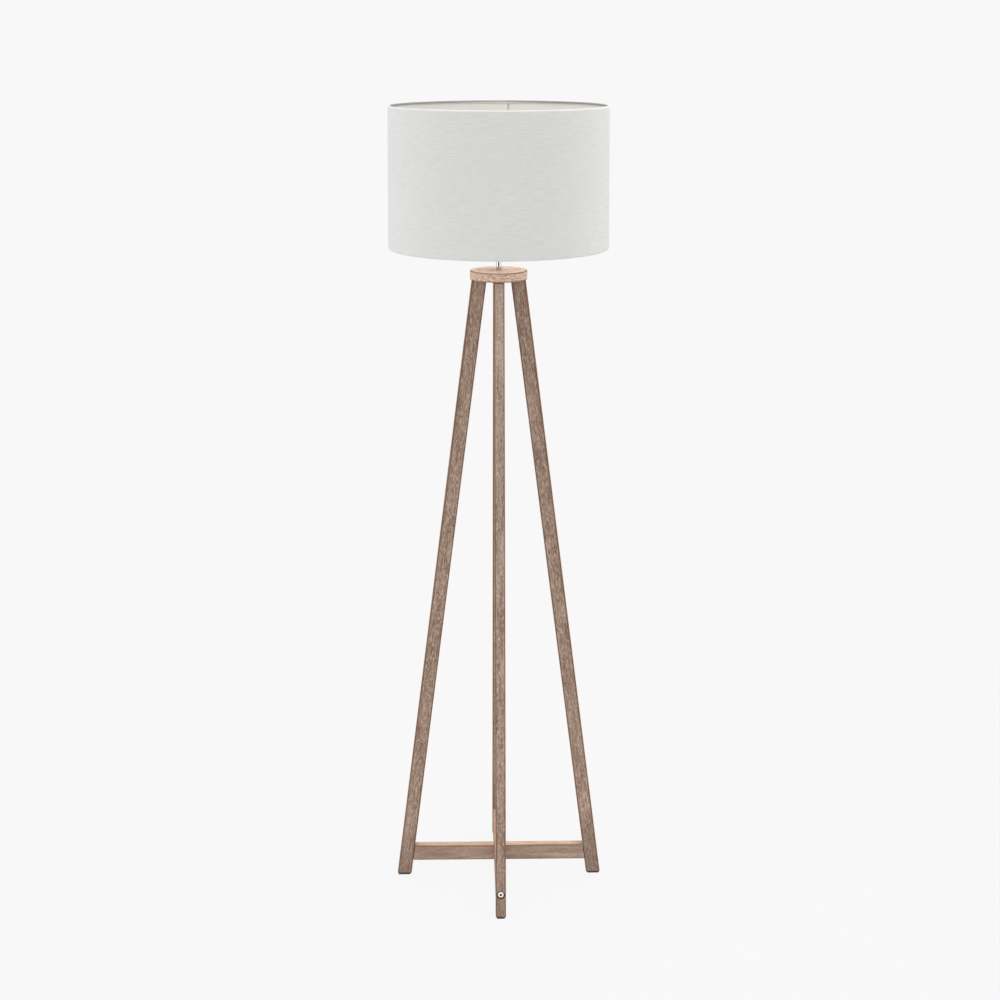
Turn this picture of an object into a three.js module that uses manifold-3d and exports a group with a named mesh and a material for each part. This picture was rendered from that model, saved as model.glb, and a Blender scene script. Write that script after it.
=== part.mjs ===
// Four-leg wooden floor lamp with a drum shade.
// Millimetres, +Z up, the floor is z = 0 and the lamp's front faces -Y.
import * as THREE from "three";
import Module from "manifold-3d";
import { mergeVertices } from "three/addons/utils/BufferGeometryUtils.js";

const wasm = await Module();
wasm.setup();

const GAP = 0.3; // air left between two pieces that touch

// ---------------------------------------------------------------- driving dimensions
const PAD = { thickness: 1.5, inset: 2.2 };
const DISC = { radius: 53.6, top: 1225.4, thickness: 17.5, edge: 2.2 };
DISC.underside = DISC.top - DISC.thickness;

const LEG = {
  depth: 27.9, // radial, measured level
  width: 19.6, // tangential
  arris: 3,
  footRound: 2.8,
  footRadius: 191.2, // centre line at the floor
  topRadius: 36.5, // centre line under the disc
  bottom: PAD.thickness + GAP,
};
LEG.slope = (LEG.footRadius - LEG.topRadius) / DISC.underside;

const RAIL = { top: 63.4, height: 31.4, thickness: 19.6, arris: 2.0, nutInset: 30 };
RAIL.middle = RAIL.top - RAIL.height / 2;

const BOLT = { shank: 3, headRadius: 6.1, headHeight: 4.2, socket: 4.6, length: 60, recess: 5.6, recessRadius: 7.1 };
const NUT = { radius: 5, length: 15, bore: 3.2 };
const SCREW = { radius: 2, headRadius: 4.9, headHeight: 3.2, length: 58 };

const STEM = { outer: 4, bore: 2.7, bottom: 1190, top: 1256 };
const SLEEVE = { outer: 5.2, bore: 4.3, top: 1246 };

const HOLDER = { base: 1246.3, mouth: 1279, radius: 22, skirtTop: 1312, thread: 19.7 };
const RING = { inner: 20.2, outer: 26, height: 6, lower: 1283.4 };
const FITTER = { inner: 20.6, outer: 30, thickness: 1.6 };
const BULB = { tip: 1288.6, radius: 30, centre: 1370, wall: 1 };

const SHADE = { top: 1526, bottom: 1266.2, topRadius: 202.6, bottomRadius: 205.2 };
const FABRIC = 0.9;
const LINER = 0.8;
const WIRE = 2; // radius of the shade's wire rings
const HEM = 3; // how far the fabric is turned in over a wire ring

// ---------------------------------------------------------------- geometry helpers
// Corners that share a place become one, and triangles that vanish with them are dropped.
function closedGeometry(geometry) {
  geometry.deleteAttribute("uv");
  geometry.deleteAttribute("normal");
  const g = mergeVertices(geometry, 1e-3);
  const index = g.index.array;
  const kept = [];
  for (let i = 0; i < index.length; i += 3) {
    const [a, b, c] = [index[i], index[i + 1], index[i + 2]];
    if (a !== b && b !== c && c !== a) kept.push(a, b, c);
  }
  g.setIndex(kept);
  return g;
}

function solid(geometry) {
  const g = closedGeometry(geometry);
  return new wasm.Manifold(
    new wasm.Mesh({
      numProp: 3,
      vertProperties: new Float32Array(g.attributes.position.array),
      triVerts: new Uint32Array(g.index.array),
    }),
  );
}

function geometryOf(manifold) {
  const mesh = manifold.getMesh();
  const g = new THREE.BufferGeometry();
  g.setAttribute("position", new THREE.BufferAttribute(new Float32Array(mesh.vertProperties), 3));
  g.setIndex(new THREE.BufferAttribute(new Uint32Array(mesh.triVerts), 1));
  g.computeVertexNormals();
  return g;
}

function cut(geometry, ...tools) {
  let body = solid(geometry);
  for (const tool of tools) body = body.subtract(solid(tool));
  return geometryOf(body);
}

// A closed profile of [radius, height] pairs, turned about the Z axis.
function turned(profile, segments = 48) {
  const points = profile.map(([r, z]) => new THREE.Vector2(r, z));
  if (THREE.ShapeUtils.isClockWise(points)) points.reverse();
  const onAxis = points[0].x === 0 && points.at(-1).x === 0;
  if (!onAxis) points.push(points[0].clone());
  const g = new THREE.LatheGeometry(points, segments);
  g.rotateX(Math.PI / 2);
  return g;
}

function ring(inner, outer, low, high, segments = 48) {
  return turned([[inner, low], [outer, low], [outer, high], [inner, high]], segments);
}

// A round rod from one end to the other along Z, moved and turned by the caller.
function rod(radius, low, high, segments = 24) {
  return turned([[0, low], [radius, low], [radius, high], [0, high]], segments);
}

function alongX(geometry) {
  return geometry.rotateY(Math.PI / 2);
}

function box(x, y, z) {
  return new THREE.BoxGeometry(x, y, z);
}

function roundedRectangle(width, height, radius) {
  const [x, y] = [width / 2, height / 2];
  const s = new THREE.Shape();
  s.moveTo(-x + radius, -y);
  s.lineTo(x - radius, -y);
  s.absarc(x - radius, -y + radius, radius, -Math.PI / 2, 0);
  s.lineTo(x, y - radius);
  s.absarc(x - radius, y - radius, radius, 0, Math.PI / 2);
  s.lineTo(-x + radius, y);
  s.absarc(-x + radius, y - radius, radius, Math.PI / 2, Math.PI);
  s.lineTo(-x, -y + radius);
  s.absarc(-x + radius, -y + radius, radius, Math.PI, 1.5 * Math.PI);
  return s;
}

function extruded(shape, depth, bevel = 0, curveSegments = 4) {
  const g = new THREE.ExtrudeGeometry(shape, {
    depth: depth - 2 * bevel,
    bevelEnabled: bevel > 0,
    bevelThickness: bevel,
    bevelSize: bevel,
    bevelOffset: -bevel,
    bevelSegments: 3,
    curveSegments,
  });
  return g.translate(0, 0, bevel);
}

function regularPolygon(sides, acrossFlats) {
  const radius = acrossFlats / 2 / Math.cos(Math.PI / sides);
  const corners = Array.from({ length: sides }, (_, i) => {
    const a = (2 * Math.PI * (i + 0.5)) / sides;
    return new THREE.Vector2(radius * Math.cos(a), radius * Math.sin(a));
  });
  return new THREE.Shape(corners);
}

function arc(centreR, centreZ, radius, from, to, steps) {
  return Array.from({ length: steps + 1 }, (_, i) => {
    const a = THREE.MathUtils.degToRad(from + ((to - from) * i) / steps);
    return [centreR + radius * Math.cos(a), centreZ + radius * Math.sin(a)];
  });
}

// ---------------------------------------------------------------- wooden frame
const legRadiusAt = (z) => LEG.footRadius - LEG.slope * z;

// The leg on the +X side. Its section is level, so both ends come out cut parallel to the floor.
function leg() {
  const spare = 6;
  const height = DISC.underside - GAP - LEG.bottom;
  const blank = extruded(roundedRectangle(LEG.depth, LEG.width, LEG.arris), height + spare, LEG.footRound, 2);
  blank.translate(0, 0, LEG.bottom);
  const lean = new THREE.Matrix4().set(1, 0, -LEG.slope, LEG.footRadius, 0, 1, 0, 0, 0, 0, 1, 0, 0, 0, 0, 1);
  blank.applyMatrix4(lean);
  const outerFace = legRadiusAt(RAIL.middle) + LEG.depth / 2;
  return cut(
    blank,
    box(80, 80, 20).translate(LEG.topRadius, 0, DISC.underside - GAP + 10),
    alongX(rod(BOLT.shank + 0.4, outerFace - 50, outerFace + 5)).translate(0, 0, RAIL.middle),
    alongX(rod(BOLT.recessRadius, outerFace - BOLT.recess, outerFace + 5, 36)).translate(0, 0, RAIL.middle),
    rod(SCREW.radius + 0.25, DISC.top - SCREW.length - 2, DISC.top).translate(LEG.topRadius, 0, 0),
  );
}

function footPad() {
  const outline = roundedRectangle(LEG.depth - 2 * PAD.inset, LEG.width - 2 * PAD.inset, 2);
  return extruded(outline, PAD.thickness, 0, 3).translate(LEG.footRadius, 0, 0);
}

// A rail along X between two opposite legs: ends follow the legs' lean, and the notch takes the other rail.
function rail(notchOnTop) {
  const bar = extruded(roundedRectangle(RAIL.height, RAIL.thickness, RAIL.arris), 400, 0, 2);
  alongX(bar).translate(-200, 0, RAIL.middle);
  const legFace = (z) => legRadiusAt(z) - LEG.depth / 2 - GAP;
  const side = new THREE.Shape([
    new THREE.Vector2(legFace(0), 0),
    new THREE.Vector2(legFace(100), 100),
    new THREE.Vector2(260, 100),
    new THREE.Vector2(260, 0),
  ]);
  const end = extruded(side, 60).rotateX(Math.PI / 2).translate(0, 30, 0);
  const otherEnd = end.clone().rotateZ(Math.PI);
  const notch = box(RAIL.thickness + 2 * GAP, 60, RAIL.height);
  const notchShift = (RAIL.height / 2) * (notchOnTop ? 1 : -1);
  notch.translate(0, 0, RAIL.middle + notchShift - (notchOnTop ? GAP / 2 : -GAP / 2));
  const holes = [1, -1].flatMap((side) => {
    const inner = legFace(RAIL.middle) - RAIL.nutInset;
    const boltHole = alongX(rod(BOLT.shank + 0.4, inner - 10, inner + 50)).translate(0, 0, RAIL.middle);
    const nutHole = rod(NUT.radius + GAP, RAIL.top - RAIL.height - 5, RAIL.middle + NUT.length / 2 + GAP);
    nutHole.translate(inner, 0, 0);
    return [boltHole, nutHole].map((g) => (side > 0 ? g : g.rotateZ(Math.PI)));
  });
  return cut(bar, end, otherEnd, notch, ...holes);
}

function topDisc() {
  const { radius, top, underside, edge } = DISC;
  const profile = [
    [STEM.outer + GAP, underside],
    ...arc(radius - edge, underside + edge, edge, -90, 0, 3),
    ...arc(radius - edge, top - edge, edge, 0, 90, 3),
    [STEM.outer + GAP, top],
  ];
  const sinks = [0, 1, 2, 3].map((quarter) => {
    const { headRadius, headHeight, radius: shank } = SCREW;
    const sink = turned([
      [0, underside - 5],
      [shank + 0.5, underside - 5],
      [shank + 0.5, top - headHeight - 1],
      [headRadius + 0.3, top - 1],
      [headRadius + 0.3, top + 5],
      [0, top + 5],
    ], 18);
    return sink.translate(LEG.topRadius, 0, 0).rotateZ((quarter * Math.PI) / 2);
  });
  return cut(turned(profile, 60), ...sinks);
}

// ---------------------------------------------------------------- fastenings
function bolt() {
  const outerFace = legRadiusAt(RAIL.middle) + LEG.depth / 2;
  const seat = outerFace - BOLT.recess + 0.2;
  const { headRadius, headHeight, length, shank } = BOLT;
  const profile = [
    [0, seat - length],
    [shank - 0.7, seat - length],
    [shank, seat - length + 0.9],
    [shank, seat],
    [headRadius, seat],
    [headRadius, seat + headHeight - 1.2],
    [headRadius - 0.4, seat + headHeight - 0.4],
    [headRadius - 1.2, seat + headHeight],
    [0, seat + headHeight],
  ];
  const hexagon = extruded(regularPolygon(6, BOLT.socket), 6).rotateZ(Math.PI / 6); // a corner points up
  const socket = hexagon.translate(0, 0, seat + headHeight - 2.9);
  return alongX(cut(turned(profile, 24), socket)).translate(0, 0, RAIL.middle);
}

function barrelNut() {
  const x = legRadiusAt(RAIL.middle) - LEG.depth / 2 - GAP - RAIL.nutInset;
  const low = RAIL.middle - NUT.length / 2;
  const body = rod(NUT.radius, low, RAIL.middle + NUT.length / 2).translate(x, 0, 0);
  const cross = alongX(rod(NUT.bore, x - 20, x + 20)).translate(0, 0, RAIL.middle);
  const slot = box(20, 1.4, 2.4).translate(x, 0, low);
  return cut(body, cross, slot);
}

function legScrew() {
  const { radius, headRadius, headHeight, length } = SCREW;
  const top = DISC.top - 0.4;
  const profile = [
    [0, top - length],
    [radius, top - length + 8],
    [radius, top - headHeight - 0.3],
    [headRadius - 0.2, top - 0.6],
    [headRadius - 0.2, top],
    [0, top],
  ];
  const slots = [box(5, 1.3, 4), box(1.3, 5, 4)].map((slot) => slot.translate(0, 0, top));
  return cut(turned(profile, 24), ...slots).translate(LEG.topRadius, 0, 0);
}

// ---------------------------------------------------------------- stem
function stemNipple() {
  return ring(STEM.bore, STEM.outer, STEM.bottom, STEM.top, 32);
}

function stemSleeve() {
  const { outer, bore, top } = SLEEVE;
  const low = DISC.top + GAP;
  return turned([
    [bore, low],
    [outer - 0.4, low],
    [outer, low + 0.4],
    [outer, top - 0.4],
    [outer - 0.4, top],
    [bore, top],
  ], 32);
}

function discWasher() {
  return ring(STEM.outer + 0.3, 12, DISC.underside - GAP - 1.6, DISC.underside - GAP, 40);
}

function discNut() {
  const high = DISC.underside - 2 * GAP - 1.6;
  const hexagon = extruded(regularPolygon(6, 13), 5, 0.4).translate(0, 0, high - 5);
  return cut(hexagon, rod(STEM.outer + 0.25, high - 10, high + 5, 32));
}

// The bush screws over the rod's lower end and has a rounded mouth for the supply cord.
function cordBush() {
  const low = STEM.bottom - 3;
  return turned([
    ...arc(STEM.bore + 1.2, low, 1.2, 180, 270, 3),
    ...arc(5.6, low, 1.2, 270, 360, 3),
    [6.8, low + 9],
    [STEM.outer + 0.25, low + 9],
    [STEM.outer + 0.25, low + 2.7],
    [STEM.bore, low + 2.7],
  ], 24);
}

// ---------------------------------------------------------------- lampholder
const SWITCH = { z: 1268, radius: 3, block: 5.2, blockHalf: 14, reach: 27, travel: 5 };
SWITCH.rest = -SWITCH.travel / 2;

function holderCap() {
  const { base, mouth, radius } = HOLDER;
  const shell = turned([
    [STEM.outer + GAP, base],
    [8, base],
    [8, base + 4],
    ...arc(13, base + 13, 9, -70, 0, 5),
    [radius, mouth],
    [20, mouth],
    [20, mouth - 4],
    [18.5, mouth - 4],
    [18.5, base + 15],
    ...arc(10.5, base + 13, 8, 0, -70, 4),
    [STEM.outer + GAP, base + 5.2],
  ], 36);
  const switchHole = rod(SWITCH.radius + 0.35, -40, 40).rotateX(Math.PI / 2).translate(0, 0, SWITCH.z);
  return cut(shell, switchHole);
}

function threadRidges(radius, depth, low, pitch, count) {
  return Array.from({ length: count }, (_, i) => [
    [radius - depth, low + i * pitch],
    [radius, low + (i + 0.35) * pitch],
    [radius, low + (i + 0.65) * pitch],
  ]).flat();
}

function holderSkirt() {
  const { mouth, radius, skirtTop, thread } = HOLDER;
  const low = mouth + GAP;
  return turned([
    [18, low],
    [radius, low],
    [radius, low + 3.4],
    [thread - 0.8, low + 3.4],
    ...threadRidges(thread, 0.6, low + 5, 3.6, 5),
    [thread - 0.6, low + 26],
    [thread - 0.6, skirtTop - 0.6],
    [thread - 1.2, skirtTop],
    [15.4, skirtTop],
    [15.4, skirtTop - 2],
    [18, skirtTop - 2],
  ], 28);
}

function holderInsert() {
  const low = HOLDER.mouth - 3.7;
  const floor = BULB.tip - 2.6;
  const body = turned([
    [0, low],
    [19.7, low],
    [19.7, low + 3.4],
    [17.7, low + 3.4],
    [17.7, HOLDER.skirtTop - 2.6],
    [14.3, HOLDER.skirtTop - 2.6],
    [14.3, floor],
    [0, floor],
  ], 40);
  const wireHoles = [-9, 9].map((x) => rod(1.6, low - 5, floor + 5, 12).translate(x, 6, 0));
  return cut(body, ...wireHoles);
}

// A springy tongue on the insert's floor that meets the bulb's tip.
function contactCentre() {
  const floor = BULB.tip - 2.6 + 0.2;
  const side = new THREE.Shape([
    new THREE.Vector2(-8, 0),
    new THREE.Vector2(-1, 0),
    new THREE.Vector2(4, 1.5),
    new THREE.Vector2(4, 2),
    new THREE.Vector2(-1.2, 0.6),
    new THREE.Vector2(-8, 0.6),
  ]);
  return extruded(side, 4).rotateX(Math.PI / 2).translate(-2, 2, floor);
}

// A strip up the insert's wall that meets the bulb's threaded shell.
function contactSide() {
  const floor = BULB.tip - 2.6 + 0.2;
  const side = new THREE.Shape([
    new THREE.Vector2(9, 0),
    new THREE.Vector2(14, 0),
    new THREE.Vector2(14, 16),
    new THREE.Vector2(13.6, 16),
    new THREE.Vector2(13.6, 0.5),
    new THREE.Vector2(9, 0.5),
  ]);
  return extruded(side, 4).rotateX(Math.PI / 2).translate(0, 2, floor);
}

function switchBar() {
  const { reach, radius, block, blockHalf, z, rest } = SWITCH;
  const bar = turned([
    [0, -reach],
    [radius - 0.8, -reach],
    [radius, -reach + 0.8],
    [radius, -blockHalf],
    [block, -blockHalf],
    [block, blockHalf],
    [radius, blockHalf],
    [radius, reach - 0.8],
    [radius - 0.8, reach],
    [0, reach],
  ], 24);
  return bar.rotateX(Math.PI / 2).translate(0, rest, z);
}

// A threaded ring with finger ribs, screwed on the lampholder's skirt.
function shadeRing(low) {
  const { inner, outer, height } = RING;
  const blank = ring(inner, outer, low, low + height, 36);
  const flutes = Array.from({ length: 12 }, (_, i) => {
    const groove = rod(1.8, low - 1, low + height + 1, 8);
    return groove.translate(outer + 0.6, 0, 0).rotateZ(((i + 0.5) * Math.PI) / 6);
  });
  return cut(blank, ...flutes);
}

// ---------------------------------------------------------------- bulb
function bulbGlass() {
  const { radius, centre, wall } = BULB;
  const neck = 11.4;
  const low = BULB.tip + 16;
  const outside = (r) => arc(0, centre, r, 90, -38, 9);
  return turned([
    ...outside(radius),
    [17.2, centre - 33],
    [13.6, centre - 44],
    [neck, centre - 54],
    [neck, low],
    [neck - wall, low],
    [neck - wall, centre - 54],
    [12.6, centre - 43.6],
    [16.2, centre - 32.4],
    ...outside(radius - wall).reverse(),
  ], 28);
}

function bulbCap() {
  const low = BULB.tip + 4.4;
  return turned([
    [7, low],
    [9, low],
    [12.4, low + 2.5],
    ...threadRidges(13.1, 0.5, low + 3, 3.6, 4),
    [12.6, low + 18],
    [12.9, low + 22],
    [12, low + 22],
    [12, low + 3.4],
    [9, low + 1],
    [7, low + 0.8],
  ], 28);
}

function bulbInsulator() {
  const low = BULB.tip + 1.2;
  return turned([[0, low], [4.4, low], [8.6, low + 2.9], [0, low + 2.9]], 32);
}

function bulbTip() {
  const { tip } = BULB;
  return turned([[0, tip], [3.2, tip], [4, tip + 0.5], [4, tip + 0.9], [0, tip + 0.9]], 24);
}

// ---------------------------------------------------------------- shade
const SHADE_SEGMENTS = 64;
const shadeRadiusAt = (z) => {
  const t = (z - SHADE.bottom) / (SHADE.top - SHADE.bottom);
  return SHADE.bottomRadius + (SHADE.topRadius - SHADE.bottomRadius) * t;
};
const wireCentre = (radius) => radius - FABRIC - GAP - WIRE;
const TOP_WIRE = { r: wireCentre(SHADE.topRadius), z: SHADE.top - FABRIC - GAP - WIRE };
const BOTTOM_WIRE = { r: wireCentre(SHADE.bottomRadius), z: SHADE.bottom + FABRIC + GAP + WIRE };

// One skin: up the outside, over both wires, and turned in down the inside.
function shadeFabric() {
  const outer = WIRE + GAP + FABRIC;
  const inner = WIRE + GAP;
  const hemTop = TOP_WIRE.z - HEM;
  const hemBottom = BOTTOM_WIRE.z + HEM;
  return turned([
    ...arc(BOTTOM_WIRE.r, BOTTOM_WIRE.z, outer, -180, 0, 5),
    ...arc(TOP_WIRE.r, TOP_WIRE.z, outer, 0, 180, 5),
    [TOP_WIRE.r - outer, hemTop],
    [TOP_WIRE.r - inner, hemTop],
    ...arc(TOP_WIRE.r, TOP_WIRE.z, inner, 180, 0, 4),
    ...arc(BOTTOM_WIRE.r, BOTTOM_WIRE.z, inner, 0, -180, 4),
    [BOTTOM_WIRE.r - inner, hemBottom],
    [BOTTOM_WIRE.r - outer, hemBottom],
  ], SHADE_SEGMENTS);
}

function shadeLiner() {
  const low = BOTTOM_WIRE.z + WIRE + GAP;
  const high = TOP_WIRE.z - WIRE - GAP;
  const outside = (z) => shadeRadiusAt(z) - FABRIC - GAP;
  return turned([
    [outside(low) - LINER, low],
    [outside(low), low],
    [outside(high), high],
    [outside(high) - LINER, high],
  ], SHADE_SEGMENTS);
}

function shadeWire({ r, z }) {
  return turned(arc(r, z, WIRE, 0, 300, 5), SHADE_SEGMENTS);
}

function fitterRing() {
  const low = RING.lower + RING.height + GAP;
  return ring(FITTER.inner, FITTER.outer, low, low + FITTER.thickness, 48);
}

// A wire from the fitter ring's top out and down to the shade's lower wire ring.
function spiderArm() {
  const wire = 1.8;
  const start = RING.lower + RING.height + GAP + FITTER.thickness + GAP + wire;
  const reach = BOTTOM_WIRE.r - WIRE - FABRIC - 3 * GAP;
  const path = new THREE.CatmullRomCurve3([
    new THREE.Vector3(27.8, 0, start),
    new THREE.Vector3(45, 0, start),
    new THREE.Vector3(60, 0, start - 2),
    new THREE.Vector3(170, 0, BOTTOM_WIRE.z + 3),
    new THREE.Vector3(reach - 8, 0, BOTTOM_WIRE.z + 0.5),
    new THREE.Vector3(reach, 0, BOTTOM_WIRE.z),
  ]);
  const section = new THREE.Shape().absarc(0, 0, wire, 0, 2 * Math.PI);
  return new THREE.ExtrudeGeometry(section, { steps: 16, extrudePath: path, curveSegments: 5 });
}

// ---------------------------------------------------------------- assembly
const COLOURS = {
  wood: 0x9a7f70,
  discWood: 0xcfae98,
  felt: 0x3b2f28,
  steel: 0xc9cbcc,
  chrome: 0xe4e6e8,
  brass: 0xc5a55a,
  white: 0xeeece6,
  ceramic: 0xe7e3da,
  black: 0x202020,
  glass: 0xf4f1ea,
  fabric: 0xd4d4d2,
  liner: 0xf2f1ec,
};

function material(colour) {
  return new THREE.MeshStandardMaterial({ color: COLOURS[colour] });
}

const root = new THREE.Group();
root.name = "floor_lamp";

function piece(name, geometry, colour, quarterTurns = 0) {
  const mesh = new THREE.Mesh(closedGeometry(geometry.clone()), material(colour));
  mesh.geometry.rotateZ((quarterTurns * Math.PI) / 2);
  mesh.geometry.computeVertexNormals();
  mesh.name = name;
  root.add(mesh);
}

const SIDES = { right: 0, back: 1, left: 2, front: 3 };
for (const [side, turns] of Object.entries(SIDES)) {
  piece(`leg_${side}`, leg(), "wood", turns);
  piece(`pad_${side}`, footPad(), "felt", turns);
  piece(`bolt_${side}`, bolt(), "steel", turns);
  piece(`barrel_nut_${side}`, barrelNut(), "steel", turns);
  piece(`leg_screw_${side}`, legScrew(), "steel", turns);
}
piece("stretcher_left_right", rail(true), "wood");
piece("stretcher_front_back", rail(false), "wood", 1);
piece("top_disc", topDisc(), "discWood");

piece("stem_nipple", stemNipple(), "steel");
piece("stem_sleeve", stemSleeve(), "chrome");
piece("disc_washer", discWasher(), "steel");
piece("disc_nut", discNut(), "steel");
piece("cord_bush", cordBush(), "black");

piece("holder_cap", holderCap(), "white");
piece("holder_skirt", holderSkirt(), "white");
piece("holder_insert", holderInsert(), "ceramic");
piece("contact_centre", contactCentre(), "brass");
piece("contact_side", contactSide(), "brass");
piece("switch_bar", switchBar(), "black");
piece("shade_ring_lower", shadeRing(RING.lower), "white");
piece("shade_ring_upper", shadeRing(RING.lower + RING.height + 2 * GAP + FITTER.thickness), "white");

piece("bulb_glass", bulbGlass(), "glass");
piece("bulb_cap", bulbCap(), "steel");
piece("bulb_insulator", bulbInsulator(), "black");
piece("bulb_tip", bulbTip(), "steel");

piece("fitter_ring", fitterRing(), "white");
for (const n of [1, 2, 3]) {
  const turned = spiderArm().rotateZ(Math.PI / 2 + ((n - 1) * 2 * Math.PI) / 3);
  piece(`spider_arm_${n}`, turned, "white");
}
piece("shade_wire_top", shadeWire(TOP_WIRE), "white");
piece("shade_wire_bottom", shadeWire(BOTTOM_WIRE), "white");
piece("shade_liner", shadeLiner(), "liner");
piece("shade_fabric", shadeFabric(), "fabric");

export default root;
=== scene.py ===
"""A four-leg wooden floor lamp with a grey linen drum shade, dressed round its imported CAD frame."""

import math

import bmesh
import bpy
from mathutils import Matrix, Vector


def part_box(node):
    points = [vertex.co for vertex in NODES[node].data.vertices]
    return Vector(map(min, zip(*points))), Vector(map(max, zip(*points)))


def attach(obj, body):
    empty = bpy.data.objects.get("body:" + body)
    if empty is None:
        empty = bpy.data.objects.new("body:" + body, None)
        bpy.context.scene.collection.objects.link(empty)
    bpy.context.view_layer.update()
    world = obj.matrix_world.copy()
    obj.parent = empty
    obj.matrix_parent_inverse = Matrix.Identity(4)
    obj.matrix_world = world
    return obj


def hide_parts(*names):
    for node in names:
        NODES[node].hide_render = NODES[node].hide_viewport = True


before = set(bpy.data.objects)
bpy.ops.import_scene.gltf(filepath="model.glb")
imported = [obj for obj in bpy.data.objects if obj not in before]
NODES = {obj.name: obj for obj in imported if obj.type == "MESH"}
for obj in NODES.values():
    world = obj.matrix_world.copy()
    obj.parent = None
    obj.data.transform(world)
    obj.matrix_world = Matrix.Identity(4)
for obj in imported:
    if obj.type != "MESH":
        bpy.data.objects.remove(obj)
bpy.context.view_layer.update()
SIDES = {"right": (1, 0), "back": (0, 1), "left": (-1, 0), "front": (0, -1)}


# ---------------------------------------------------------------- node helpers
def linear(red, green, blue):
    """A colour given as 0 to 255 screen values, as the scene-linear values that shaders take."""
    def channel(value):
        c = value / 255
        return c / 12.92 if c <= 0.04045 else ((c + 0.055) / 1.055) ** 2.4
    return (channel(red), channel(green), channel(blue), 1.0)


def darker(colour, share):
    return (*[channel * share for channel in colour[:3]], 1)


class Material:
    """Short calls that build one procedural material."""

    def __init__(self, name):
        self.data = bpy.data.materials.new(name)
        self.data.use_nodes = True
        self.tree = self.data.node_tree
        self.tree.nodes.clear()
        self.out = self.tree.nodes.new("ShaderNodeOutputMaterial")
        self.shader = self.tree.nodes.new("ShaderNodeBsdfPrincipled")
        self.tree.links.new(self.shader.outputs[0], self.out.inputs[0])

    def feed(self, socket, value):
        if isinstance(value, bpy.types.NodeSocket):
            self.tree.links.new(value, socket)
        else:
            socket.default_value = value

    def set(self, **sockets):
        for name, value in sockets.items():
            self.feed(self.shader.inputs[name.replace("_", " ")], value)

    def node(self, kind, **properties):
        made = self.tree.nodes.new(kind)
        for name, value in properties.items():
            setattr(made, name, value)
        return made

    def position(self):
        return self.node("ShaderNodeTexCoord").outputs["Object"]

    def uv(self):
        return self.node("ShaderNodeTexCoord").outputs["UV"]

    def math(self, operation, *values):
        made = self.node("ShaderNodeMath", operation=operation)
        for socket, value in zip(made.inputs, values):
            self.feed(socket, value)
        return made.outputs[0]

    def dot(self, vector, direction):
        made = self.node("ShaderNodeVectorMath", operation="DOT_PRODUCT")
        self.feed(made.inputs[0], vector)
        made.inputs[1].default_value = direction
        return made.outputs["Value"]

    def split(self, vector):
        made = self.node("ShaderNodeSeparateXYZ")
        self.feed(made.inputs[0], vector)
        return made.outputs

    def join(self, x, y, z):
        made = self.node("ShaderNodeCombineXYZ")
        for socket, value in zip(made.inputs, (x, y, z)):
            self.feed(socket, value)
        return made.outputs[0]

    def scaled(self, vector, scale, shift=(0, 0, 0)):
        made = self.node("ShaderNodeMapping")
        self.feed(made.inputs["Vector"], vector)
        made.inputs["Scale"].default_value = scale
        made.inputs["Location"].default_value = shift
        return made.outputs[0]

    def noise(self, vector, scale, detail=3.0, roughness=0.5, distortion=0.0):
        made = self.node("ShaderNodeTexNoise")
        self.feed(made.inputs["Vector"], vector)
        made.inputs["Scale"].default_value = scale
        made.inputs["Detail"].default_value = detail
        made.inputs["Roughness"].default_value = roughness
        made.inputs["Distortion"].default_value = distortion
        return made.outputs[0]

    def between(self, value, low, high, to_low=0.0, to_high=1.0):
        made = self.node("ShaderNodeMapRange", clamp=True, interpolation_type="SMOOTHSTEP")
        for socket, v in zip(made.inputs, (value, low, high, to_low, to_high)):
            self.feed(socket, v)
        return made.outputs[0]

    def spread(self, noise, to_low, to_high):
        """Carries the middle of a noise's range to a range of its own."""
        return self.between(noise, 0.3, 0.7, to_low, to_high)

    def hypot(self, a, b):
        squares = self.math("ADD", self.math("MULTIPLY", a, a), self.math("MULTIPLY", b, b))
        return self.math("SQRT", squares)

    def mix(self, factor, first, second, blend="MIX"):
        made = self.node("ShaderNodeMix", data_type="RGBA", blend_type=blend)
        self.feed(made.inputs["Factor"], factor)
        self.feed(made.inputs[6], first)
        self.feed(made.inputs[7], second)
        return made.outputs[2]

    def bump(self, height, distance, strength):
        made = self.node("ShaderNodeBump")
        made.inputs["Distance"].default_value = distance
        made.inputs["Strength"].default_value = strength
        self.feed(made.inputs["Height"], height)
        return made.outputs[0]


def dress(material, *names, crisp_above=35):
    """Gives CAD nodes a material, shaded smoothly except over edges sharper than an angle in degrees."""
    for name in names:
        piece = NODES[name]
        piece.data.materials.clear()
        piece.data.materials.append(material.data)
        for polygon in piece.data.polygons:
            polygon.use_smooth = True
        edges = piece.modifiers.new("crisp_edges", "EDGE_SPLIT")
        edges.split_angle = math.radians(crisp_above)
        edges.use_edge_sharp = False


# ---------------------------------------------------------------- camera, light and floor
def make_camera():
    """A long lens a little above the shade, turned down towards the middle of the lamp."""
    yaw, pitch = 0.021, 0.2556
    distance, height, sideways = 3.4473, 1.6821, 0.0025
    focal_length = 66.58
    data = bpy.data.cameras.new("camera")
    data.sensor_width = 36
    data.lens = focal_length
    data.clip_end = 400
    camera = bpy.data.objects.new("camera", data)
    camera.location = (
        sideways * math.cos(yaw) - distance * math.sin(yaw),
        -sideways * math.sin(yaw) - distance * math.cos(yaw),
        height,
    )
    camera.rotation_euler = (math.pi / 2 - pitch, 0, -yaw)
    bpy.context.collection.objects.link(camera)
    bpy.context.scene.camera = camera


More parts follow.
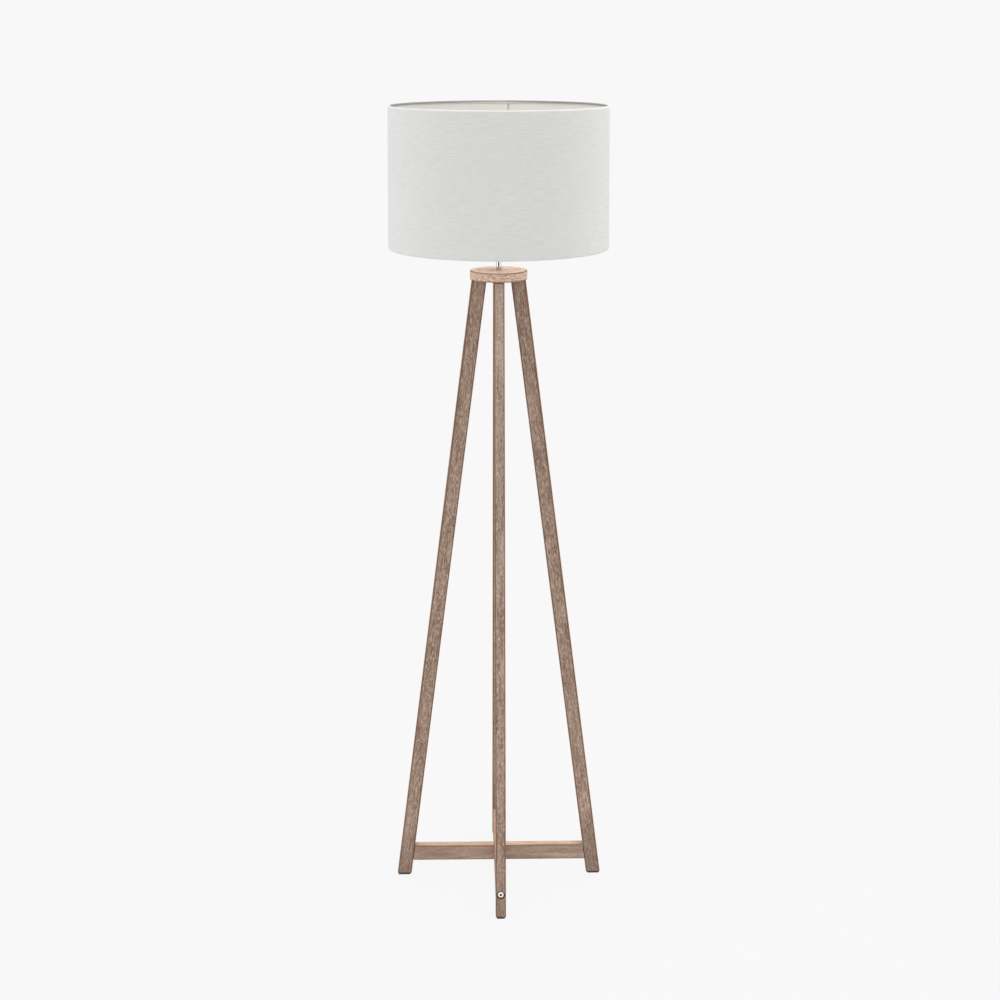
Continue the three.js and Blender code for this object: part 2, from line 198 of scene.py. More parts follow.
BACKDROP = linear(248, 248, 248)
ROOM_LIGHT = 1.0
DIM_END_LIGHT = 0.03
DIM_END_TOWARDS = Vector((0, -1, -0.12)).normalized()
DIM_END_EDGE = 37  # degrees off that direction
DIM_END_CORE = 16
FLOOR_RADIUS = 3.0
FLOOR_FADE_START = 0.5
FLOOR_FADE_END = 1.9
FLOOR_SINK = 0.0003
FLOOR_GLOW = 0.94
FLOOR_PAPER = (0.05, 0.05, 0.05, 1)
BLACK = (0, 0, 0, 1)
SIDE_BOX = (1.4, 2.4)
TOP_BOX = (1.6, 1.6)


def make_world():
    """A pale studio all round, with an unlit end behind the camera that only the lamp's surfaces see."""
    world = bpy.data.worlds.new("studio")
    world.use_nodes = True
    tree = world.node_tree
    tree.nodes.clear()
    out = tree.nodes.new("ShaderNodeOutputWorld")
    towards = tree.nodes.new("ShaderNodeTexCoord").outputs["Generated"]
    facing = tree.nodes.new("ShaderNodeVectorMath")
    facing.operation = "DOT_PRODUCT"
    facing.inputs[1].default_value = DIM_END_TOWARDS
    tree.links.new(towards, facing.inputs[0])
    dim_end = tree.nodes.new("ShaderNodeMapRange")
    dim_end.interpolation_type = "SMOOTHSTEP"
    dim_end.inputs["From Min"].default_value = math.cos(math.radians(DIM_END_EDGE))
    dim_end.inputs["From Max"].default_value = math.cos(math.radians(DIM_END_CORE))
    dim_end.inputs["To Min"].default_value = ROOM_LIGHT
    dim_end.inputs["To Max"].default_value = DIM_END_LIGHT
    tree.links.new(facing.outputs["Value"], dim_end.inputs["Value"])
    seen = tree.nodes.new("ShaderNodeMix")
    tree.links.new(tree.nodes.new("ShaderNodeLightPath").outputs["Is Camera Ray"], seen.inputs[0])
    tree.links.new(dim_end.outputs[0], seen.inputs[2])
    seen.inputs[3].default_value = ROOM_LIGHT
    background = tree.nodes.new("ShaderNodeBackground")
    background.inputs["Color"].default_value = BACKDROP
    tree.links.new(seen.outputs[0], background.inputs["Strength"])
    tree.links.new(background.outputs[0], out.inputs["Surface"])
    bpy.context.scene.world = world


def area_light(name, at, towards, size, power):
    """A rectangular soft light at a point, turned towards another; size in metres, power in watts."""
    data = bpy.data.lights.new(name, "AREA")
    data.shape = "RECTANGLE"
    data.size, data.size_y = size
    data.energy = power
    light = bpy.data.objects.new(name, data)
    light.location = at
    light.rotation_euler = (Vector(towards) - Vector(at)).to_track_quat("-Z", "Y").to_euler()
    bpy.context.collection.objects.link(light)


def make_floor():
    """A pale sweep that catches faint shadows near the lamp and fades into the backdrop further out."""
    bm = bmesh.new()
    bmesh.ops.create_circle(bm, cap_ends=True, segments=96, radius=FLOOR_RADIUS)
    mesh = bpy.data.meshes.new("floor")
    bm.to_mesh(mesh)
    bm.free()
    floor = bpy.data.objects.new("floor", mesh)
    floor.location.z = -FLOOR_SINK
    bpy.context.collection.objects.link(floor)
    paint = Material("floor_paper")
    x, y, _ = paint.split(paint.position())
    faded = paint.between(paint.hypot(x, y), FLOOR_FADE_START, FLOOR_FADE_END)
    glow = paint.math("ADD", paint.math("MULTIPLY", faded, ROOM_LIGHT - FLOOR_GLOW), FLOOR_GLOW)
    paint.set(Base_Color=paint.mix(faded, FLOOR_PAPER, BLACK), Roughness=1.0, Specular_IOR_Level=0.0)
    paint.set(Emission_Color=BACKDROP, Emission_Strength=glow)
    mesh.materials.append(paint.data)


def make_lights():
    """Two tall boxes in front at the sides, the left one a little stronger, and one overhead."""
    lamp_middle = (0, 0, 1.0)
    area_light("softbox_left", (-2.6, -1.7, 1.6), lamp_middle, SIDE_BOX, 23)
    area_light("softbox_right", (2.6, -1.7, 1.6), lamp_middle, SIDE_BOX, 18)
    area_light("softbox_top", (0.35, 0.2, 3.4), (0, 0, 0.6), TOP_BOX, 26)


# ---------------------------------------------------------------- wood
LEG_LOW, LEG_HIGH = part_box("leg_right")
LEG_WIDTH = LEG_HIGH.y - LEG_LOW.y
PAD_LOW, PAD_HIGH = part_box("pad_right")
FOOT_RADIUS = (PAD_LOW.x + PAD_HIGH.x) / 2
LEG_DEPTH = 2 * (LEG_HIGH.x - FOOT_RADIUS)
LEG_SLOPE = (LEG_HIGH.x - LEG_LOW.x - LEG_DEPTH) / (LEG_HIGH.z - LEG_LOW.z)
RAIL_LOW, RAIL_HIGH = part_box("stretcher_left_right")
DISC_LOW, DISC_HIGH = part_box("top_disc")
RAIL_MIDDLE = (RAIL_LOW.z + RAIL_HIGH.z) / 2
BOLT_HOLE = 0.0071
EDGE_BAND = 0.0022
EDGE_SOFT = (-0.0005, 0.0007)
EDGE_WANDER = (-0.0004, 0.0005)
FOOT_SHADE = (0.0048, 0.0014)  # heights over the leg's lower end, from no painted shade to full painted shade
SHOULDER_SHADE = (0.0036, 0.0012)  # depths under its upper end, for the painted shadow under the disc
HOLE_RING = (0.0016, 0.0004)  # distances out from the bolt's hole
RAIL_TOP_LIGHT_DEPTH = (0.0013, 0.0005)  # depths under a rail's top face, over which light is painted

# A noise's scale is its waves per metre across the grain; its stretch slows it along the grain.
STREAK_SCALE, STREAK_STRETCH = 400, 0.05
FLECK_SCALE, FLECK_STRETCH = 880, 0.17
PATCH_SCALE, PATCH_STRETCH = 62, 0.16
PORE_SCALE, PORE_STRETCH = 1300, 0.07
WOOD_GLOSS = 0.25

WASHED = linear(161, 136, 120)
WASHED_LIGHT = linear(210, 188, 171)
WASHED_DARK = linear(114, 90, 75)
# painted light, screened over the legs' upper parts
LEG_TOP_LIGHT_COLOUR = linear(124, 114, 106)
EDGE_BROWN = linear(122, 80, 50)
HOLE_RING_DARK = linear(84, 56, 38)
# painted shade at the foot
FOOT_PAINTED_SHADE = linear(58, 42, 33)
TAN = linear(226, 199, 181)
TAN_LIGHT = linear(244, 222, 208)
TAN_DARK = linear(186, 150, 126)
# painted light for the disc's top face
DISC_TOP_LIGHT = linear(250, 222, 198)
KNOT = linear(112, 76, 56)
# painted light for the rails' top faces
RAIL_TOP_LIGHT = linear(216, 187, 168)
RAIL_TOP_LIGHT_LOW = linear(188, 152, 128)


def near_edges(m, across, half_across, along, half_along, wear):
    """1 on the rounded long edges of a rectangular bar, 0 on its flat faces, ragged where wear varies."""
    a = m.math("SUBTRACT", m.math("ABSOLUTE", across), half_across - EDGE_BAND)
    b = m.math("SUBTRACT", m.math("ABSOLUTE", along), half_along - EDGE_BAND)
    inset = m.math("ADD", m.math("MINIMUM", a, b), m.spread(wear, *EDGE_WANDER))
    return m.between(inset, *EDGE_SOFT)


def grain(m, space, seed):
    """Streaks, short flecks, patches and pores along a bar whose length is the third coordinate."""
    def drawn_out(stretch, shift):
        return m.scaled(space, (1, 1, stretch), shift)

    streaks = m.noise(drawn_out(STREAK_STRETCH, (seed, 2 * seed, 0)), STREAK_SCALE, 4, 0.66)
    flecks = m.noise(drawn_out(FLECK_STRETCH, (seed, 0, 2 * seed)), FLECK_SCALE, 4, 0.68, 0.35)
    patches = m.noise(drawn_out(PATCH_STRETCH, (0, seed, seed)), PATCH_SCALE, 3, 0.55, 0.5)
    pores = m.noise(drawn_out(PORE_STRETCH, (seed, 0, seed)), PORE_SCALE, 2, 0.6)
    return streaks, flecks, patches, pores


def washed_wood(m, space, seed, bar, mottle=1.0):
    """The grey-brown wash on a bar: streaked and flecked colour, brown worn edges, a fine open grain.

    bar is the two coordinates across it, each followed by the bar's half size that way. mottle is 1
    for the full contrast of streaks and flecks, and less for calmer wood.
    """
    streaks, flecks, patches, pores = grain(m, space, seed)
    edges = near_edges(m, *bar, flecks)
    calm = 1 - mottle
    washed = m.between(streaks, 0.36, 0.62, 0.1 + 0.6 * calm, 1 - 0.2 * calm)
    colour = m.mix(washed, WASHED_DARK, WASHED)
    colour = m.mix(m.between(patches, 0.40, 0.72, 0, 0.42), colour, WASHED_LIGHT)
    colour = m.mix(m.between(flecks, 0.48, 0.68, 0, mottle), colour, WASHED_LIGHT)
    colour = m.mix(m.between(flecks, 0.50, 0.32, 0, mottle), colour, WASHED_DARK)
    colour = m.mix(m.between(pores, 0.56, 0.70, 0, 0.6), colour, EDGE_BROWN)
    worn = m.math("MULTIPLY", edges, m.between(streaks, 0.3, 0.6, 0.95, 0.75))
    colour = m.mix(worn, colour, EDGE_BROWN)
    height = m.math("ADD", m.math("MULTIPLY", streaks, 0.6), m.math("MULTIPLY", pores, -0.4))
    m.set(Roughness=m.spread(streaks, 0.72, 0.58), Normal=m.bump(height, 0.0006, 0.7))
    m.set(Specular_IOR_Level=WOOD_GLOSS)
    return colour, edges


def leg_material(side, seed, top_light_share):
    """Washed wood along a leaning leg, with painted light towards its top, darker towards the floor,
    painted shade at the foot and a painted shadow under the disc.
    """
    m = Material(f"washed_wood_leg_{side}")
    out = SIDES[side]
    place = m.position()
    z = m.split(place)[2]
    centre = m.math("SUBTRACT", FOOT_RADIUS, m.math("MULTIPLY", z, LEG_SLOPE))
    radial = m.math("SUBTRACT", m.dot(place, (out[0], out[1], 0)), centre)
    tangential = m.dot(place, (-out[1], out[0], 0))
    space = m.join(radial, tangential, z)
    bar = (radial, LEG_DEPTH / 2, tangential, LEG_WIDTH / 2)
    colour, edges = washed_wood(m, space, seed, bar)
    # painted light: the upper leg is screened lighter, most on the front leg, where more light falls
    painted_top_light = m.between(z, 0.78 * LEG_HIGH.z, 1.04 * LEG_HIGH.z, 0, top_light_share)
    painted_top_light = m.math("MULTIPLY", painted_top_light, m.math("SUBTRACT", 1.0, edges))
    colour = m.mix(painted_top_light, colour, LEG_TOP_LIGHT_COLOUR, "SCREEN")
    # darker towards the floor
    darker_low = m.between(z, 0.16, 0.04, 0, 0.45)
    colour = m.mix(darker_low, colour, WASHED_DARK)
    # painted shade over the rounded lower end of the leg, by the floor
    foot_shade = m.between(z, *[LEG_LOW.z + height for height in FOOT_SHADE])
    colour = m.mix(foot_shade, colour, FOOT_PAINTED_SHADE)
    # painted shadow: the leg's top darkens where it meets the disc
    shadow_under_disc = m.between(z, *[LEG_HIGH.z - depth for depth in SHOULDER_SHADE], 0, 0.8)
    colour = m.mix(shadow_under_disc, colour, EDGE_BROWN)
    # darker in a ring round the bolt's hole
    from_bolt = m.hypot(m.math("SUBTRACT", z, RAIL_MIDDLE), tangential)
    hole_ring = m.between(from_bolt, *[BOLT_HOLE + reach for reach in HOLE_RING], 0, 0.85)
    m.set(Base_Color=m.mix(hole_ring, colour, HOLE_RING_DARK))
    return m


def rail_material(node, along, across, seed):
    """Washed wood along a rail, with painted light on its top face."""
    m = Material(f"washed_wood_{node}")
    place = m.position()
    z = m.math("SUBTRACT", m.split(place)[2], RAIL_MIDDLE)
    side = m.dot(place, across)
    space = m.join(side, z, m.dot(place, along))
    half_height = (RAIL_HIGH.z - RAIL_LOW.z) / 2
    half_width = (RAIL_HIGH.y - RAIL_LOW.y) / 2
    bar = (side, half_width, z, half_height)
    colour, edges = washed_wood(m, space, seed, bar, 0.3)
    # painted light: the top face is lightened where light from above falls on it
    lit_top = m.between(z, *[half_height - depth for depth in RAIL_TOP_LIGHT_DEPTH])
    streak = m.noise(m.scaled(space, (1, 1, 0.08)), 300, 3, 0.55)
    painted_top_light = m.mix(m.between(streak, 0.35, 0.65), RAIL_TOP_LIGHT_LOW, RAIL_TOP_LIGHT)
    lit_top = m.math("MULTIPLY", lit_top, m.math("SUBTRACT", 1.0, m.math("MULTIPLY", edges, 0.7)))
    m.set(Base_Color=m.mix(lit_top, colour, painted_top_light))
    return m


GROWTH_RING = 0.0075
RING_WANDER = 0.013
PITH_BELOW = 0.055  # how far under the disc the tree's middle ran
SAW_SLOPE = 0.22
BOARD_TILT = 0.38
NICK_LEAN = 1.8
DISC_TOP_LIGHT_DEPTH = (0.0012, 0.0004)  # depths under the disc's top face, over which light is painted


def disc_material():
    """The lighter top disc, cut from a plain-sawn board: growth rings, flecks, knots, brown edges and
    painted light on its top face.
    """
    m = Material("tan_wood")
    place = m.position()
    x, y, z = m.split(place)
    wander = m.noise(m.scaled(place, (0.35, 1, 1)), 34, 3, 0.55)
    from_pith = m.math("SUBTRACT", z, DISC_LOW.z - PITH_BELOW)
    ring_y = m.math("ADD", y, m.math("MULTIPLY", x, SAW_SLOPE))
    ring_z = m.math("ADD", from_pith, m.math("MULTIPLY", x, BOARD_TILT))
    ring = m.math("ADD", m.hypot(ring_y, ring_z), m.math("MULTIPLY", wander, RING_WANDER))
    late = m.math("ABSOLUTE", m.math("SINE", m.math("MULTIPLY", ring, math.pi / GROWTH_RING)))
    line = m.between(late, 0.20, 0.04)
    fine = m.noise(m.scaled(place, (0.10, 1, 0.9)), 460, 4, 0.62, 0.25)
    flecks = m.noise(m.scaled(place, (0.16, 1, 1), (0.7, 0.2, 0)), 520, 4, 0.68, 0.3)
    knots = m.noise(m.scaled(place, (0.7, 1, 1), (0.3, 0.9, 0)), 130, 3, 0.55, 0.4)
    colour = m.mix(m.between(fine, 0.34, 0.62), TAN_DARK, TAN)
    colour = m.mix(m.between(flecks, 0.48, 0.68), colour, TAN_LIGHT)
    colour = m.mix(m.between(flecks, 0.50, 0.32), colour, TAN_DARK)
    leaning = m.join(m.math("ADD", x, m.math("MULTIPLY", z, NICK_LEAN)), y, z)
    nicks = m.noise(m.scaled(leaning, (0.12, 0.4, 1)), 560, 3, 0.6)
    colour = m.mix(m.between(nicks, 0.58, 0.69, 0, 0.85), colour, KNOT)
    colour = m.mix(m.math("MULTIPLY", line, 0.42), colour, KNOT)
    colour = m.mix(m.between(knots, 0.62, 0.72, 0, 0.7), colour, KNOT)
    radius = m.hypot(x, y)
    middle = m.math("SUBTRACT", z, (DISC_LOW.z + DISC_HIGH.z) / 2)
    edges = near_edges(m, radius, DISC_HIGH.x, middle, (DISC_HIGH.z - DISC_LOW.z) / 2, flecks)
    # painted light: the top face is lightened to stand for light from above
    lit_top_face = m.between(z, *[DISC_HIGH.z - depth for depth in DISC_TOP_LIGHT_DEPTH], 0, 0.3)
    colour = m.mix(lit_top_face, colour, DISC_TOP_LIGHT)
    colour = m.mix(m.math("MULTIPLY", edges, 0.72), colour, EDGE_BROWN)
    height = m.math("ADD", m.math("MULTIPLY", fine, 0.6), m.math("MULTIPLY", line, -0.2))
    m.set(Base_Color=colour, Roughness=m.spread(fine, 0.7, 0.55), Specular_IOR_Level=WOOD_GLOSS)
    m.set(Normal=m.bump(height, 0.0004, 0.5))
    return m


# ---------------------------------------------------------------- metals, plastics and glass
ZINC_BRIGHT = linear(254, 254, 253)
ZINC_SHADOW = linear(120, 119, 118)
# painted shade inside the hex socket
SOCKET_PAINTED_SHADE = linear(20, 19, 18)
SOCKET_REACH = (0.0036, 0.0033)  # distances from the bolt's axis
SOCKET_RIM = (0.0038, 0.0031)
SOCKET_SINK = (0.0001, 0.0006)  # depths under the head's face
FELT_DARK = linear(42, 32, 27)
FELT_LIGHT = linear(92, 74, 63)
OPAL_WARM = linear(240, 238, 232)
OPAL_WHITE = linear(250, 249, 246)


def metal(name, colour, roughness, scratch=0.05):
    """Clouded, faintly brushed metal; scratch is how far its roughness varies each way."""
    m = Material(name)
    place = m.position()
    cloud = m.noise(place, 160, 3, 0.5)
    brushed = m.noise(m.scaled(place, (1, 1, 0.08)), 2600, 2, 0.5)
    m.set(Base_Color=m.mix(m.spread(cloud, 0, 0.25), colour, darker(colour, 0.8)))
    m.set(Roughness=m.spread(cloud, roughness - scratch, roughness + scratch))
    m.set(Metallic=1.0, Normal=m.bump(brushed, 0.00005, 0.3))
    return m


def bolt_material(side):
    """Bright zinc plating, with painted shade in the head's hex socket and a faint painted shadow round it.
    """
    m = metal(f"zinc_bolt_{side}", ZINC_BRIGHT, 0.42)
    out = SIDES[side]
    low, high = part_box(f"bolt_{side}")
    place = m.position()
    reach = m.dot(place, (out[0], out[1], 0))
    face = max(abs(low.x), abs(high.x), abs(low.y), abs(high.y))
    tangential = m.dot(place, (-out[1], out[0], 0))
    rise = m.math("SUBTRACT", m.split(place)[2], (low.z + high.z) / 2)
    off_axis = m.hypot(rise, tangential)
    # painted shade deep in the hex socket
    sunk = m.between(reach, *[face - depth for depth in SOCKET_SINK])
    socket_shade = m.math("MULTIPLY", sunk, m.between(off_axis, *SOCKET_REACH))
    plating = m.shader.inputs["Base Color"].links[0].from_socket
    # painted shadow in a faint ring round the socket's mouth
    rim_shadow = m.between(off_axis, *SOCKET_RIM)
    plating = m.mix(m.math("MULTIPLY", rim_shadow, 0.2), plating, ZINC_SHADOW)
    m.set(Base_Color=m.mix(socket_shade, plating, SOCKET_PAINTED_SHADE), Metallic=0.2)
    return m


def plastic(name, colour, roughness):
    """Moulded or painted surface with a faint orange peel."""
    m = Material(name)
    place = m.position()
    cloud = m.noise(place, 90, 3, 0.5)
    orange_peel = m.noise(place, 1500, 2, 0.5)
    m.set(Base_Color=m.mix(m.spread(cloud, 0, 0.12), colour, darker(colour, 0.75)))
    m.set(Roughness=m.spread(cloud, roughness - 0.04, roughness + 0.06))
    m.set(Normal=m.bump(orange_peel, 0.00004, 0.4))
    return m


def felt():
    """Dark brown felt under the feet: matted fibres in small tufts."""
    m = Material("brown_felt")
    place = m.position()
    fibres = m.noise(place, 1800, 4, 0.7)
    tufts = m.noise(place, 420, 3, 0.6)
    m.set(Base_Color=m.mix(fibres, FELT_DARK, FELT_LIGHT))
    m.set(Roughness=0.95, Sheen_Weight=0.4, Sheen_Roughness=0.6)
    m.set(Normal=m.bump(m.math("ADD", fibres, tufts), 0.0005, 0.8))
    return m


def opal_glass():
    """The bulb's white glass, a little milky under a clear skin."""
    m = Material("opal_glass")
    cloud = m.noise(m.position(), 60, 2, 0.5)
    m.set(Base_Color=m.mix(cloud, OPAL_WARM, OPAL_WHITE))
    m.set(Roughness=m.spread(cloud, 0.12, 0.2), Coat_Weight=0.5, Coat_Roughness=0.05)
    m.set(Subsurface_Weight=0.3, Subsurface_Radius=(0.01, 0.01, 0.01))
    return m


# ---------------------------------------------------------------- shade
WIRE_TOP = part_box("shade_wire_top")
WIRE_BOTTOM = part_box("shade_wire_bottom")
WIRE = 0.002
GAP = 0.0003
CLOTH = 0.0009
LINER = 0.0008
TURN_IN = 0.0006
FULL_TURN = 2 * math.pi
TURN_STEPS = 288
WALL_STEPS = 40
BEND_STEPS = 12
HEM_STEPS = 3
TOP_RING = Vector((WIRE_TOP[1].x - WIRE, (WIRE_TOP[0].z + WIRE_TOP[1].z) / 2))
LOW_RING = Vector((WIRE_BOTTOM[1].x - WIRE, (WIRE_BOTTOM[0].z + WIRE_BOTTOM[1].z) / 2))
MEAN_ROUND = math.pi * (TOP_RING.x + LOW_RING.x)
SEAM_ANGLE = math.radians(174)
SEAM_WIDTH = 0.012
SEAM_STEPS = 6
SEAM_LIFT = 0.0007
LAP_WIDTH = 0.004
LAP_STEPS = 4
LAP_THICKNESS = 0.0003
LAP_END = 0.001  # kept clear of each wire
THREAD = 0.0009
SLUB_LENGTH = 38  # thick and thin lengths of thread, per metre
RIM_SHADE_TOP = 0.0008  # top of the painted shade line inside the rim, over the top wire's middle, at the back's centre
RIM_SHADE_FALL = 0.014  # how much lower it runs, for each metre sideways

LINEN_LIGHT = linear(224, 224, 222)
LINEN_DARK = linear(213, 213, 211)
# painted shade along the inside of the top rim
RIM_PAINTED_SHADE = linear(146, 143, 137)
TAPE_DARK = linear(206, 199, 192)
TAPE_LIGHT = linear(220, 214, 208)
LINER_DARK = linear(232, 230, 226)
LINER_LIGHT = linear(240, 238, 234)


def shade_radius(z):
    """The cloth's outside radius at a height, from the two wire rings."""
    t = (z - LOW_RING.y) / (TOP_RING.y - LOW_RING.y)
    return LOW_RING.x + (TOP_RING.x - LOW_RING.x) * t + WIRE + GAP + CLOTH


def swept(name, profile, start, turn=FULL_TURN, steps=TURN_STEPS, lift=0.0):
    """Sweeps (radius, height, run) points round the axis, with UVs in metres along the cloth.

    An angle is measured from the front, anticlockwise seen from above. Over a part turn the
    radius grows evenly by lift, so the last edge stands off the surface below it.
    """
    bm = bmesh.new()
    uv = bm.loops.layers.uv.new("cloth")
    columns = steps if turn == FULL_TURN else steps + 1
    angles = [start + turn * i / steps for i in range(steps + 1)]
    runs = [angle / FULL_TURN * MEAN_ROUND for angle in angles]
    rows = []
    for radius, z, _ in profile:
        row = []
        for i in range(columns):
            r = radius + lift * i / steps
            row.append(bm.verts.new((r * math.sin(angles[i]), -r * math.cos(angles[i]), z)))
        rows.append(row)
    for j in range(len(profile) - 1):
        lower, upper = rows[j], rows[j + 1]
        v0, v1 = profile[j][2], profile[j + 1][2]
        for i in range(steps):
            k = (i + 1) % columns
            face = bm.faces.new((lower[i], lower[k], upper[k], upper[i]))
            face.smooth = True
            corner_u = (runs[i], runs[i + 1], runs[i + 1], runs[i])
            for loop, u, v in zip(face.loops, corner_u, (v0, v0, v1, v1)):
                loop[uv].uv = (u, v)
    bm.normal_update()
    mesh = bpy.data.meshes.new(name)
    bm.to_mesh(mesh)
    bm.free()
    piece = bpy.data.objects.new(name, mesh)
    bpy.context.collection.objects.link(piece)
    return piece


def thicken(piece, thickness, offset):
    """Gives a surface its thickness: all behind its face for an offset of -1, all in front for 1."""
    solid = piece.modifiers.new("sheet_thickness", "SOLIDIFY")
    solid.thickness = thickness
    solid.offset = offset


def round_ring(ring, reach, first, last, steps):
    """Points round one wire ring's section, from one angle in degrees to another."""
    angles = [math.radians(first + (last - first) * k / steps) for k in range(steps + 1)]
    return [(ring.x + reach * math.cos(a), ring.y + reach * math.sin(a)) for a in angles]


def cloth_path():
    """The cloth's outer face: up from its lower raw edge inside, under one wire, up, and over the other."""
    reach = WIRE + GAP + CLOTH
    height = TOP_RING.y - LOW_RING.y
    wall = [LOW_RING.y + height * k / WALL_STEPS for k in range(1, WALL_STEPS)]
    turned = [TURN_IN * k / HEM_STEPS for k in range(1, HEM_STEPS + 1)]
    points = [(LOW_RING.x - reach, LOW_RING.y + depth) for depth in reversed(turned)]
    points += round_ring(LOW_RING, reach, 180, 360, BEND_STEPS)
    points += [(shade_radius(z), z) for z in wall]
    points += round_ring(TOP_RING, reach, 0, 180, BEND_STEPS)
    points += [(TOP_RING.x - reach, TOP_RING.y - depth) for depth in turned]
    return with_length(points)


def with_length(points):
    """Adds to each (radius, height) the distance run along the profile so far."""
    run, found = 0.0, []
    for i, (r, z) in enumerate(points):
        if i:
            run += math.hypot(r - points[i - 1][0], z - points[i - 1][1])
        found.append((r, z, run))
    return found


def weave(m, uv):
    """Plain-weave linen: thread crowns, and the uneven thickness of its weft and warp threads."""
    u, v, _ = m.split(uv)
    drift = m.noise(uv, 45, 2, 0.5)
    u = m.math("ADD", u, m.math("MULTIPLY", drift, THREAD * 1.5))
    v = m.math("ADD", v, m.math("MULTIPLY", drift, THREAD * 1.5))
    per_thread = math.pi / THREAD
    warp = m.math("ABSOLUTE", m.math("SINE", m.math("MULTIPLY", u, per_thread)))
    weft = m.math("ABSOLUTE", m.math("SINE", m.math("MULTIPLY", v, per_thread)))
    crown = m.math("MAXIMUM", warp, weft)
    weft_slub = m.noise(m.scaled(uv, (SLUB_LENGTH, 0.5 / THREAD, 1)), 1.0, 3, 0.6)
    warp_slub = m.noise(m.scaled(uv, (0.5 / THREAD, SLUB_LENGTH, 1)), 1.0, 3, 0.6)
    return crown, weft_slub, warp_slub


def linen():
    """Light grey linen, with a painted shade line inside the rim where it turns in over the top wire."""
    m = Material("grey_linen")
    crown, weft_slub, warp_slub = weave(m, m.uv())
    colour = m.mix(m.between(weft_slub, 0.32, 0.68), LINEN_DARK, LINEN_LIGHT)
    colour = m.mix(m.between(warp_slub, 0.4, 0.7, 0, 0.55), colour, LINEN_DARK)
    colour = m.mix(m.between(crown, 0.75, 0.2, 0, 0.3), colour, LINEN_DARK)
    cloud = m.noise(m.uv(), 9, 2, 0.5)
    colour = m.mix(m.spread(cloud, 0, 0.2), colour, LINEN_DARK)
    x, y, z = m.split(m.position())
    # painted shade: a dark line inside the top rim, thicker towards the sides
    inside = m.between(m.hypot(x, y), TOP_RING.x + 0.0006, TOP_RING.x - 0.0004)
    fall = m.math("MULTIPLY", m.math("ABSOLUTE", x), RIM_SHADE_FALL)
    edge = m.math("SUBTRACT", TOP_RING.y + RIM_SHADE_TOP, fall)
    rim_shade_band = m.between(m.math("SUBTRACT", z, edge), -0.0004, 0.0004)
    colour = m.mix(m.math("MULTIPLY", inside, rim_shade_band), colour, RIM_PAINTED_SHADE)
    height = m.math("ADD", crown, m.math("ADD", weft_slub, warp_slub))
    m.set(Base_Color=colour, Roughness=m.between(crown, 0.2, 0.8, 0.95, 0.85), Specular_IOR_Level=0.05)
    m.set(Normal=m.bump(height, 0.00025, 0.5))
    return m


def make_shade():
    """The cloth over both wires and its overlap at the back, as two pieces riding on the shade in place of
    the CAD cloth.
    """
    path = cloth_path()
    cloth = swept("shade_cloth", path, SEAM_ANGLE)
    thicken(cloth, CLOTH * 0.7, -1)
    outside = [point for point in path if point[0] > max(TOP_RING.x, shade_radius(point[1]) - 0.0012)]
    seam_turn = SEAM_WIDTH / LOW_RING.x
    seam = swept("shade_cloth_seam", outside, SEAM_ANGLE, seam_turn, SEAM_STEPS, SEAM_LIFT)
    thicken(seam, CLOTH * 0.5, -1)
    fabric = linen()
    for piece in (cloth, seam):
        piece.data.materials.append(fabric.data)
        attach(piece, "shade")
    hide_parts("shade_fabric")


def make_liner_lap():
    """The taped lap of the stiff liner sheet, up the inside of the shade at the back."""
    end = WIRE + GAP + LAP_END
    bottom, top = LOW_RING.y + end, TOP_RING.y - end
    heights = [bottom + (top - bottom) * k / BEND_STEPS for k in range(BEND_STEPS + 1)]
    clear = CLOTH + GAP + LINER + 0.00005
    path = with_length([(shade_radius(z) - clear, z) for z in heights])
    lap = swept("liner_lap", path, SEAM_ANGLE, -LAP_WIDTH / LOW_RING.x, LAP_STEPS)
    thicken(lap, LAP_THICKNESS, 1)
    lap.data.materials.append(tape_material().data)
    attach(lap, "shade")


def tape_material():
    m = Material("liner_tape")
    fibre = m.noise(m.scaled(m.uv(), (1, 0.1, 1)), 900, 3, 0.6)
    m.set(Base_Color=m.mix(fibre, TAPE_DARK, TAPE_LIGHT))
    m.set(Roughness=m.spread(fibre, 0.5, 0.7), Normal=m.bump(fibre, 0.0001, 0.4))
    return m


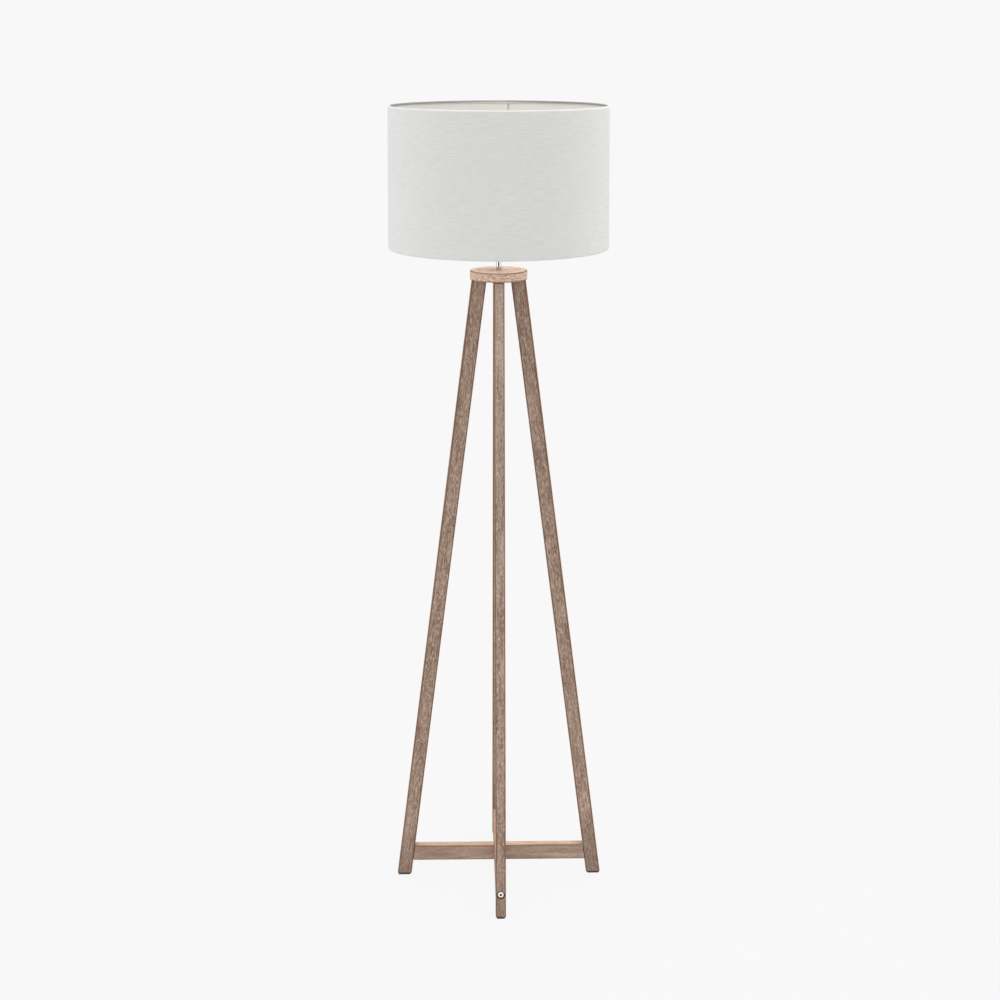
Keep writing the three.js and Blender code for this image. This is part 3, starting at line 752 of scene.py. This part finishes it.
def liner_material():
    """The stiff off-white plastic sheet that the linen is bonded to, with a faint rolled grain."""
    m = Material("liner_sheet")
    place = m.position()
    fine = m.noise(m.scaled(place, (1, 1, 0.2)), 900, 3, 0.6)
    cloud = m.noise(place, 14, 3, 0.5)
    m.set(Base_Color=m.mix(cloud, LINER_DARK, LINER_LIGHT))
    m.set(Roughness=m.spread(fine, 0.5, 0.62), Normal=m.bump(fine, 0.0001, 0.4))
    return m


# ---------------------------------------------------------------- making it all
make_camera()
make_world()
make_floor()
make_lights()

# painted light: how strongly each leg's upper part is lightened, most on the front leg
LEG_TOP_LIGHT_SHARE = {"right": 0.1, "back": 0.5, "left": 0.1, "front": 0.75}
for number, side in enumerate(SIDES):
    dress(leg_material(side, 1.7 + 3.1 * number, LEG_TOP_LIGHT_SHARE[side]), f"leg_{side}")
    dress(bolt_material(side), f"bolt_{side}")
dress(rail_material("stretcher_left_right", (1, 0, 0), (0, 1, 0), 20.3), "stretcher_left_right")
dress(rail_material("stretcher_front_back", (0, 1, 0), (1, 0, 0), 26.9), "stretcher_front_back")
dress(disc_material(), "top_disc")
dress(felt(), *[f"pad_{side}" for side in SIDES])

zinc = metal("zinc_steel", linear(240, 240, 239), 0.3)
dress(zinc, "stem_nipple", "disc_washer", "disc_nut")
dress(zinc, *[f"barrel_nut_{side}" for side in SIDES], *[f"leg_screw_{side}" for side in SIDES])
dress(metal("chrome", linear(206, 204, 201), 0.06, 0.02), "stem_sleeve")
dress(metal("nickel", linear(206, 204, 198), 0.22), "bulb_cap", "bulb_tip")
dress(metal("brass", linear(206, 174, 104), 0.3), "contact_centre", "contact_side")

black = plastic("black_plastic", linear(34, 34, 35), 0.42)
dress(black, "cord_bush", "switch_bar", "bulb_insulator")
white = plastic("white_plastic", linear(232, 230, 224), 0.3)
dress(white, "holder_cap", "holder_skirt", "shade_ring_lower", "shade_ring_upper")
dress(plastic("porcelain", linear(232, 228, 220), 0.5), "holder_insert")
wire_paint = plastic("white_wire", linear(230, 230, 227), 0.4)
dress(wire_paint, "fitter_ring", "spider_arm_1", "spider_arm_2", "spider_arm_3")
dress(wire_paint, "shade_wire_top", "shade_wire_bottom")
dress(opal_glass(), "bulb_glass", crisp_above=70)
dress(liner_material(), "shade_liner")
make_shade()
make_liner_lap()

scene = bpy.context.scene
scene.view_settings.view_transform = "Standard"
scene.view_settings.look = "None"
